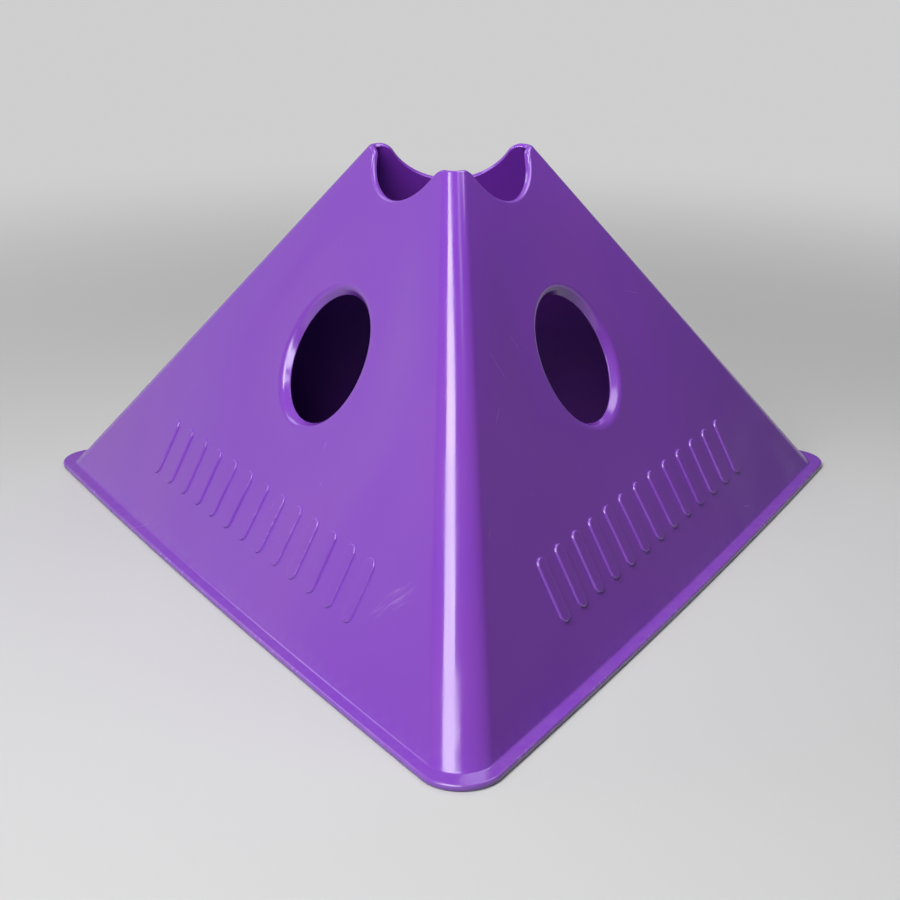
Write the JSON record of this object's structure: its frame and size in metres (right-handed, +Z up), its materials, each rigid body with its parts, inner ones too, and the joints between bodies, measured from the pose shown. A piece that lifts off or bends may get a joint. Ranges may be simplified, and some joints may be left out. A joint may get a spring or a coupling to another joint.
{
  "type": "training pyramid",
  "caption": "Hollow three-sided training pyramid in glossy purple plastic, with a pole hole in each leaning face, pole saddles along the top edge and a narrow brim to stand on.",
  "frame": {"origin": "where the pyramid's three-fold axis meets the ground, in the middle of the open base", "axes": "+Z up along the three-fold axis; one corner points to -Y, so one leaning face looks to +Y and the other two look half to -Y, one to -X and one to +X"},
  "size_m": [0.312, 0.2759, 0.145],
  "materials": {
    "purple_plastic": "smooth glossy purple moulding, lightly scuffed from use on turf"
  },
  "bodies": {
    "root": {"pyramid_shell": "purple_plastic"}
  },
  "joints": []
}
